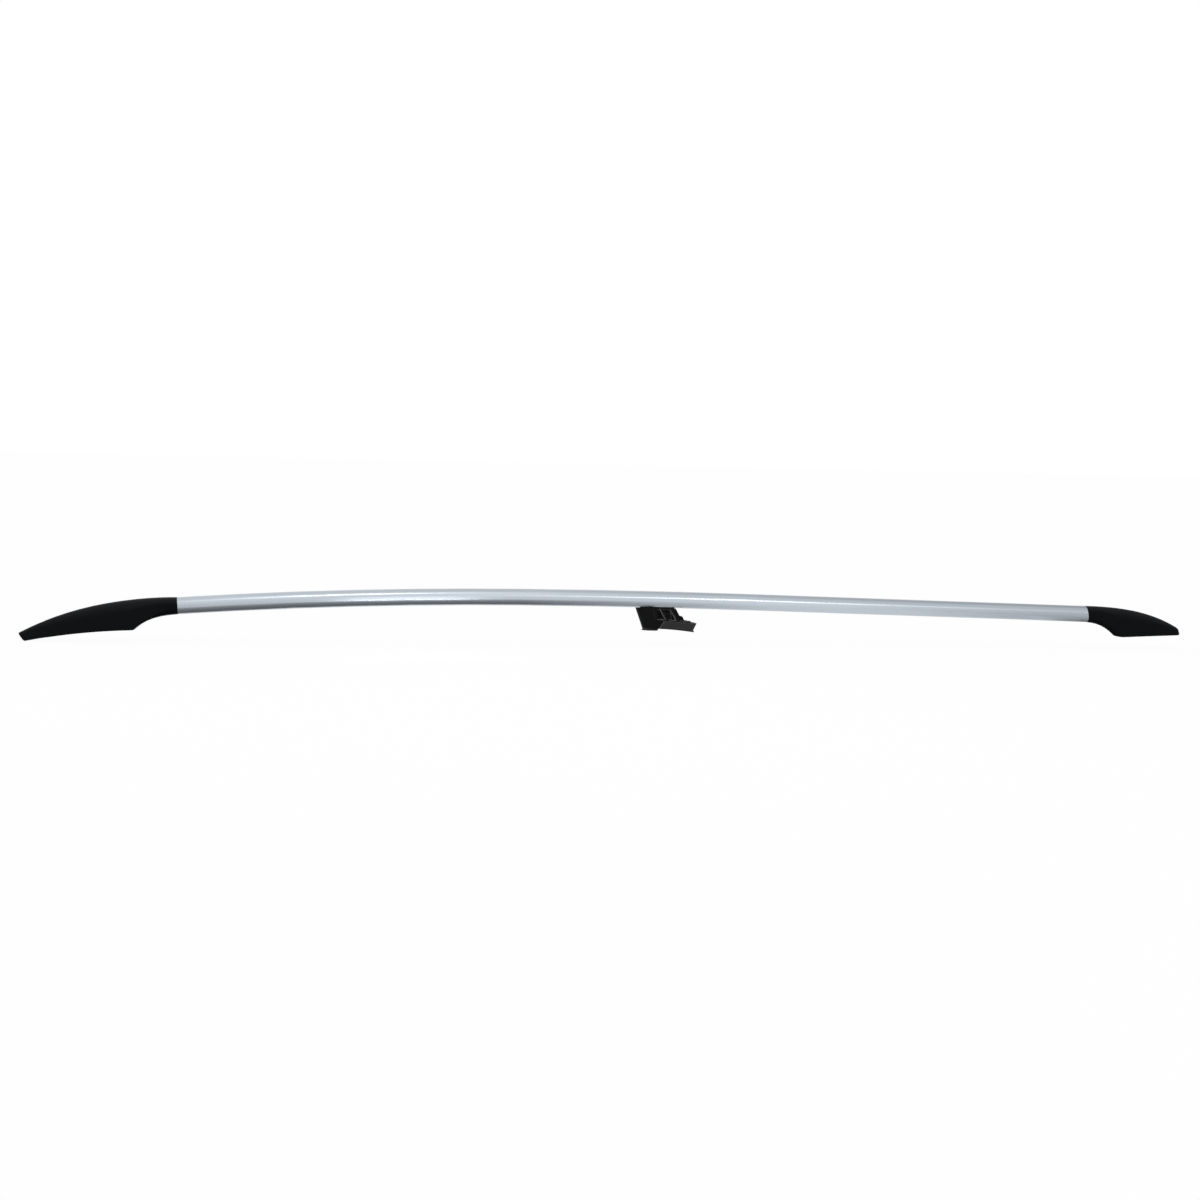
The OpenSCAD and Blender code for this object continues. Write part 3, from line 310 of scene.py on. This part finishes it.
# Cast alloy and plated steel: crystalline or spangled tone with a matt to bright range
def makeMetalFinish(name, look):
    finish, tree, shader = startFinish(name, look["colour"], look["roughLow"], metallic=1.0)
    patches = placedPattern(tree, (look["patches"],) * 3, kind="ShaderNodeTexVoronoi")
    grain = placedPattern(tree, (look["grain"],) * 3, detail=4.0)
    spangle = spread(tree, patches.outputs["Distance"], 0, 1, *look["spangle"])
    tone = mixColours(tree, spangle, look["colour"], look["tone"])
    tree.links.new(tone, shader.inputs["Base Color"])
    rough = spread(tree, grain.outputs["Fac"], look["roughLow"], look["roughHigh"])
    tree.links.new(rough, shader.inputs["Roughness"])
    addBump(tree, shader, grain.outputs["Fac"], look["depth"])
    return finish


castFinish = {
    "colour": (0.42, 0.43, 0.44), "tone": (0.52, 0.53, 0.54), "roughLow": 0.46, "roughHigh": 0.64,
    "patches": 160.0, "spangle": (0.1, 0.8), "grain": 1300.0, "depth": 0.00007,
}
zincFinish = {
    "colour": (0.56, 0.58, 0.60), "tone": (0.70, 0.71, 0.70), "roughLow": 0.24, "roughHigh": 0.40,
    "patches": 420.0, "spangle": (0.1, 0.8), "grain": 900.0, "depth": 0.00001,
}

satinAnodised = makeTubeFinish(tubeFinish)
coverBlack = makeMouldedFinish("grainedBlack", coverFinish)
footBlack = makeMouldedFinish("glassFilledBlack", footFinish)
shoeGrey = makeMouldedFinish("shoeGrey", shoeFinish)
dullRubber = makeRubberFinish(rubberFinish)
castAlloy = makeMetalFinish("castAlloy", castFinish)
zincPlate = makeMetalFinish("zincPlate", zincFinish)

finishOf = {"tube": satinAnodised, "cover": coverBlack, "casting": castAlloy, "rubber": dullRubber,
            "zinc": zincPlate, "foot_plastic": footBlack, "shoe_plastic": shoeGrey}
nodeFinish = {
    "casting": ["front_bracket", "rear_bracket"],
    "rubber": ["front_joint_seal", "rear_joint_seal", "front_gasket", "rear_gasket", "centre_gasket",
               "tube_liner"],
    "zinc": ["front_inserts", "rear_inserts", "front_tube_screws", "rear_tube_screws", "front_cover_screw",
             "rear_cover_screw", "centre_insert", "rivet_nuts", "centre_screws", "shoe_screws"],
    "tube": ["rail_tube"], "cover": ["front_cover", "rear_cover"],
    "foot_plastic": ["centre_support"], "shoe_plastic": ["centre_shoe"],
}


def paint(piece, finish):
    if piece.material_slots:
        for place in piece.material_slots:
            place.material = finish
    else:
        piece.data.materials.append(finish)


for slotName, names in nodeFinish.items():
    for name in names:
        paint(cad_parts[name], finishOf[slotName])
for piece in (tube, longCover, shortCover, foot, shoe):
    paint(piece, finishOf[piece["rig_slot"]])
print("finishes made")


# Floor, backdrop and light
studio = {
    "floorSize": 60.0, "floorShade": 0.93, "floorGlow": 0.94, "cameraWhite": 1.0, "worldFill": 1.0,
    "overhead": (0.66, 1.15), "behind": 0.6, "overheadShade": (0.05, 0.46), "shadeFrom": (0.0, 0.42),
    "rightShade": 0.71, "rightFrom": (0.30, 0.42),
}
flagLift = 0.001  # above the floor
flags = {
    "frontFlag": {"x": (-1.05, 0.22), "y": (-0.62, 0.02), "shade": 0.23, "full": -0.02,
                  "clear": (-0.26, 0.20)},
    "rearFlag": {"x": (0.35, 1.30), "y": (-1.20, 0.02), "shade": 0.64, "full": -0.90,
                 "clear": (0.85, 0.45)},
    "heelFlag": {"x": (0.68, 1.20), "y": (-0.08, 0.60), "shade": 0.03, "full": 0.0,
                 "clear": (0.80, 0.70)},
}
softboxes = {
    "keySoftbox": {"size": (1.6, 0.5), "at": (-0.35, -1.7, 2.2), "aim": (0, 0, 0.04),
                   "roll": 0, "power": 0.3},
    "leftSoftbox": {"size": (0.14, 0.50), "at": (-0.49, -1.20, 1.40), "aim": (-0.60, 0, 0.05),
                    "roll": -14, "power": 1.9},
    "midSoftbox": {"size": (0.24, 0.70), "at": (1.09, -3.80, 0.94), "aim": (0.14, 0, 0.05),
                   "roll": -32, "power": 7.6},
    "lowSoftbox": {"size": (0.23, 0.02), "at": (-0.445, -0.30, -0.008), "aim": (-0.48, 0, 0.05),
                   "roll": 0, "power": 0.098},
}


# 1 for rays of the camera, of reflections and through glass, 0 for the light that falls on the object
def backgroundRays(tree):
    path = tree.nodes.new("ShaderNodeLightPath")
    direct = tree.nodes.new("ShaderNodeMath")
    direct.operation = "MAXIMUM"
    tree.links.new(path.outputs["Is Camera Ray"], direct.inputs[0])
    tree.links.new(path.outputs["Is Glossy Ray"], direct.inputs[1])
    orThrough = tree.nodes.new("ShaderNodeMath")
    orThrough.operation = "MAXIMUM"
    tree.links.new(direct.outputs[0], orThrough.inputs[0])
    tree.links.new(path.outputs["Is Transmission Ray"], orThrough.inputs[1])
    return orThrough.outputs[0]


def makeFloor(look):
    deselectAll()
    bpy.ops.mesh.primitive_plane_add(size=look["floorSize"], location=(0, 0, cadBox[0].z))
    floor = bpy.context.object
    floor.name = "studioFloor"
    finish = bpy.data.materials.new("paleFloor")
    finish.use_nodes = True
    tree = finish.node_tree
    tree.nodes.remove(tree.nodes["Principled BSDF"])
    matt = tree.nodes.new("ShaderNodeBsdfDiffuse")
    matt.inputs["Color"].default_value = (*(look["floorShade"],) * 3, 1)
    glow = tree.nodes.new("ShaderNodeEmission")
    glow.inputs["Strength"].default_value = look["cameraWhite"]
    share = tree.nodes.new("ShaderNodeMath")
    share.operation = "MULTIPLY"
    share.inputs[1].default_value = look["floorGlow"]
    tree.links.new(backgroundRays(tree), share.inputs[0])
    blend = tree.nodes.new("ShaderNodeMixShader")
    tree.links.new(share.outputs[0], blend.inputs["Fac"])
    tree.links.new(matt.outputs[0], blend.inputs[1])
    tree.links.new(glow.outputs[0], blend.inputs[2])
    side = tree.nodes.new("ShaderNodeNewGeometry")  # clear from below, so that the underside shows
    clear = tree.nodes.new("ShaderNodeBsdfTransparent")
    oneSided = tree.nodes.new("ShaderNodeMixShader")
    tree.links.new(side.outputs["Backfacing"], oneSided.inputs["Fac"])
    tree.links.new(blend.outputs[0], oneSided.inputs[1])
    tree.links.new(clear.outputs[0], oneSided.inputs[2])
    tree.links.new(oneSided.outputs[0], tree.nodes["Material Output"].inputs["Surface"])
    floor.data.materials.append(finish)


# Dark card laid on the floor, seen only in reflections, and fading out along and away from the rail
def makeFlag(name, look):
    deselectAll()
    (x0, x1), (y0, y1) = look["x"], look["y"]
    middle = ((x0 + x1) / 2, (y0 + y1) / 2, cadBox[0].z + flagLift)
    bpy.ops.mesh.primitive_plane_add(size=1.0, location=middle)
    flag = bpy.context.object
    flag.name = name
    flag.scale = (x1 - x0, y1 - y0, 1)
    bpy.ops.object.transform_apply(location=True, rotation=True, scale=True)
    finish = bpy.data.materials.new(name)
    finish.use_nodes = True
    tree = finish.node_tree
    tree.nodes.remove(tree.nodes["Principled BSDF"])
    place = tree.nodes.new("ShaderNodeTexCoord")
    across = tree.nodes.new("ShaderNodeSeparateXYZ")
    tree.links.new(place.outputs["Object"], across.inputs["Vector"])
    cover = tree.nodes.new("ShaderNodeMath")
    cover.operation = "MULTIPLY"
    tree.links.new(spread(tree, across.outputs["X"], 1, 0, *look["clear"]), cover.inputs[0])
    tree.links.new(spread(tree, across.outputs["Y"], 0, 1, y0, look["full"]), cover.inputs[1])
    dark = tree.nodes.new("ShaderNodeBsdfDiffuse")
    dark.inputs["Color"].default_value = (*(look["shade"],) * 3, 1)
    clear = tree.nodes.new("ShaderNodeBsdfTransparent")
    blend = tree.nodes.new("ShaderNodeMixShader")
    tree.links.new(cover.outputs[0], blend.inputs["Fac"])
    tree.links.new(clear.outputs[0], blend.inputs[1])
    tree.links.new(dark.outputs[0], blend.inputs[2])
    tree.links.new(blend.outputs[0], tree.nodes["Material Output"].inputs["Surface"])
    flag.data.materials.append(finish)
    flag.visible_camera = False
    flag.visible_diffuse = False
    flag.visible_transmission = False
    flag.visible_shadow = False


def makeWorld(look):
    world = bpy.data.worlds.new("studioWorld")
    bpy.context.scene.world = world
    world.use_nodes = True
    tree = world.node_tree
    background = tree.nodes["Background"]
    background.inputs["Strength"].default_value = look["worldFill"]
    sky = tree.nodes.new("ShaderNodeTexCoord")
    toward = tree.nodes.new("ShaderNodeSeparateXYZ")
    tree.links.new(sky.outputs["Generated"], toward.inputs["Vector"])
    lean = tree.nodes.new("ShaderNodeMath")  # greyer overhead and behind, and most so on the right
    lean.operation = "MULTIPLY_ADD"
    tree.links.new(toward.outputs["Y"], lean.inputs[0])
    lean.inputs[1].default_value = look["behind"]
    tree.links.new(toward.outputs["Z"], lean.inputs[2])
    shade = tree.nodes.new("ShaderNodeMath")
    shade.operation = "MULTIPLY"
    overheadDark = spread(tree, toward.outputs["X"], *look["overheadShade"], *look["shadeFrom"])
    tree.links.new(spread(tree, lean.outputs[0], 0, 1, *look["overhead"]), shade.inputs[0])
    tree.links.new(overheadDark, shade.inputs[1])
    level = tree.nodes.new("ShaderNodeMath")
    level.operation = "MULTIPLY"
    rightLevel = spread(tree, toward.outputs["X"], 1, look["rightShade"], *look["rightFrom"])
    tree.links.new(spread(tree, shade.outputs[0], 1, 0, 0, 1), level.inputs[0])
    tree.links.new(rightLevel, level.inputs[1])
    path = tree.nodes.new("ShaderNodeLightPath")
    seen = tree.nodes.new("ShaderNodeMath")  # the camera itself sees plain white
    seen.operation = "MAXIMUM"
    tree.links.new(level.outputs[0], seen.inputs[0])
    white = spread(tree, path.outputs["Is Camera Ray"], 0, look["cameraWhite"], 0, 1)
    tree.links.new(white, seen.inputs[1])
    tree.links.new(seen.outputs[0], background.inputs["Color"])


def makeSoftbox(name, look):
    lamp = bpy.data.lights.new(name, "AREA")
    lamp.shape = "RECTANGLE"
    lamp.size, lamp.size_y = look["size"]
    lamp.energy = look["power"]
    holder = bpy.data.objects.new(name, lamp)
    bpy.context.scene.collection.objects.link(holder)
    holder.location = look["at"]
    holder.visible_camera = False
    facing = (Vector(look["aim"]) - Vector(look["at"])).to_track_quat("-Z", "Y")
    holder.rotation_mode = "QUATERNION"
    holder.rotation_quaternion = facing @ Quaternion((0, 0, 1), math.radians(look["roll"]))


makeFloor(studio)
for name, look in flags.items():
    makeFlag(name, look)
makeWorld(studio)
for name, look in softboxes.items():
    makeSoftbox(name, look)
print("studio lit")


# Camera at the photograph's viewing angle
viewpoint = {
    "azimuth": -10.5, "elevation": 4.0, "distance": 4.0, "roll": 1.328,
    "aim": (-0.1352, 0.0, 0.0508), "lens": 68.3, "sensor": 36.0, "farthest": 200.0,
}


def makeCamera(look):
    camera = bpy.data.objects.new("camera", bpy.data.cameras.new("camera"))
    bpy.context.scene.collection.objects.link(camera)
    camera.data.sensor_width = look["sensor"]
    camera.data.lens = look["lens"]
    camera.data.clip_end = look["farthest"]
    turn, rise, roll = (math.radians(look[k]) for k in ("azimuth", "elevation", "roll"))
    back = Vector((math.sin(turn) * math.cos(rise), -math.cos(turn) * math.cos(rise), math.sin(rise)))
    right = Vector((math.cos(turn), math.sin(turn), 0))
    up = back.cross(right)
    rolledRight = right * math.cos(roll) + up * math.sin(roll)
    rolledUp = up * math.cos(roll) - right * math.sin(roll)
    facing = Matrix((rolledRight, rolledUp, back)).transposed().to_4x4()
    camera.matrix_world = Matrix.Translation(Vector(look["aim"]) + back * look["distance"]) @ facing
    bpy.context.scene.camera = camera


makeCamera(viewpoint)
bpy.context.scene.view_settings.view_transform = "Standard"
print("camera placed")
